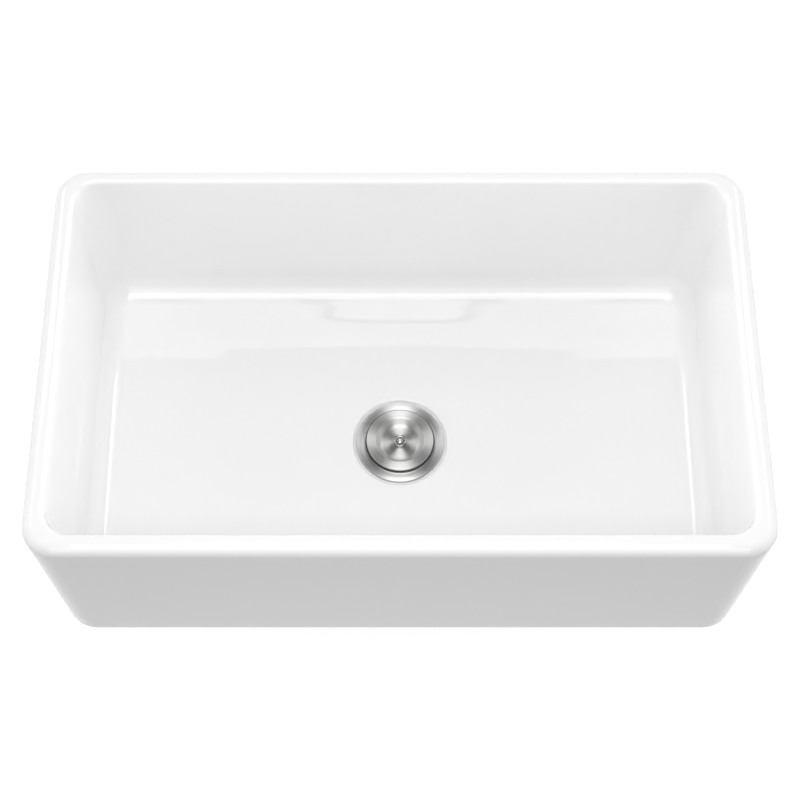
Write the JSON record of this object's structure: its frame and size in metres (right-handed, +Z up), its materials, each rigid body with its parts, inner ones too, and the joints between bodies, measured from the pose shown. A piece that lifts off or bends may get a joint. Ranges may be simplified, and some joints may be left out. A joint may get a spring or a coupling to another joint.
{
  "type": "apron-front kitchen sink",
  "caption": "White fireclay apron-front kitchen sink with one deep bowl, a steel basket strainer, a dished sealing lid and a flanged outlet tube.",
  "frame": {"origin": "middle of the lower end of the drain's tailpiece, on the drain's axis", "axes": "+Z up along the drain's axis, +X along the width of the sink, -Y towards the apron"},
  "size_m": [0.838, 0.508, 0.4093],
  "materials": {
    "white_glaze": "gloss",
    "satin_steel": "satin",
    "turned_steel": "satin",
    "chromed_tube": "polished",
    "nut_brass": "satin",
    "black_rubber": "matte",
    "grey_rubber": "matte",
    "card": "matte",
    "white_nylon": "satin"
  },
  "bodies": {
    "sink": {"sink_bowl": "white_glaze", "flange_gasket": "grey_rubber", "strainer_body": "satin_steel", "rubber_washer": "black_rubber", "friction_washer": "card", "lock_nut": "nut_brass", "tailpiece_washer": "white_nylon", "tailpiece": "chromed_tube", "coupling_nut": "chromed_tube"},
    "basket": {"basket": "satin_steel", "basket_handle": "satin_steel"},
    "lid": {"lid_plate": "turned_steel", "lid_seal": "black_rubber", "lid_backing_plate": "satin_steel", "lid_knob": "turned_steel", "lid_screw": "turned_steel", "lid_washer": "satin_steel", "lid_nut": "satin_steel"}
  },
  "joints": [
    {"name": "basket_lift", "type": "slide", "parent": "sink", "child": "basket", "axis": [0, 0, 1], "range_m": [0, 0.33]},
    {"name": "lid_lift", "type": "slide", "parent": "basket", "child": "lid", "axis": [0, 0, 1], "range_m": [0, 0.29]}
  ]
}
